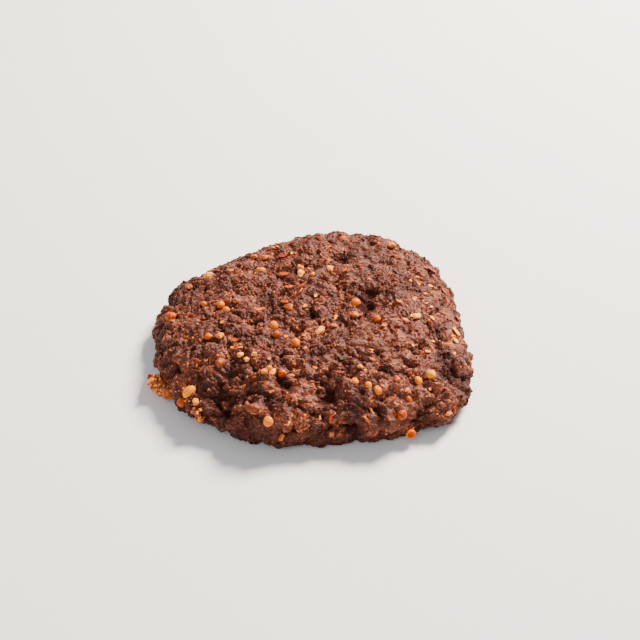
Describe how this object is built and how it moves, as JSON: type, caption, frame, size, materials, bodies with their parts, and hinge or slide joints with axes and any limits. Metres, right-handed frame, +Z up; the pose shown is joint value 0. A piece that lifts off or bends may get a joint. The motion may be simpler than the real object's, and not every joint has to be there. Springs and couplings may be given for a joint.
{
  "type": "chapli kebab",
  "caption": "Hand-pressed patty of coarse spiced mince, fried to a dark craggy crust with coriander seeds, that rests flat on a dish, bread or salad.",
  "frame": {"origin": "on the flat underside, below the middle of the patty's box", "axes": "+Z up out of the browned top, +Y away from someone who looks at the patty from the front, +X to their right"},
  "size_m": [0.1232, 0.1218, 0.0246],
  "materials": {
    "crust": "fried mince crust, dark red-brown, rough with an oily shine",
    "coriander_seed": "fried coriander husk, amber, satin",
    "onion_crumb": "fried onion and fat, tan, oily",
    "chilli_flake": "crushed red chilli and tomato skin, glossy",
    "herb": "fried coriander leaf, dull green"
  },
  "bodies": {
    "root": {"kebab": "crust"}
  },
  "joints": []
}
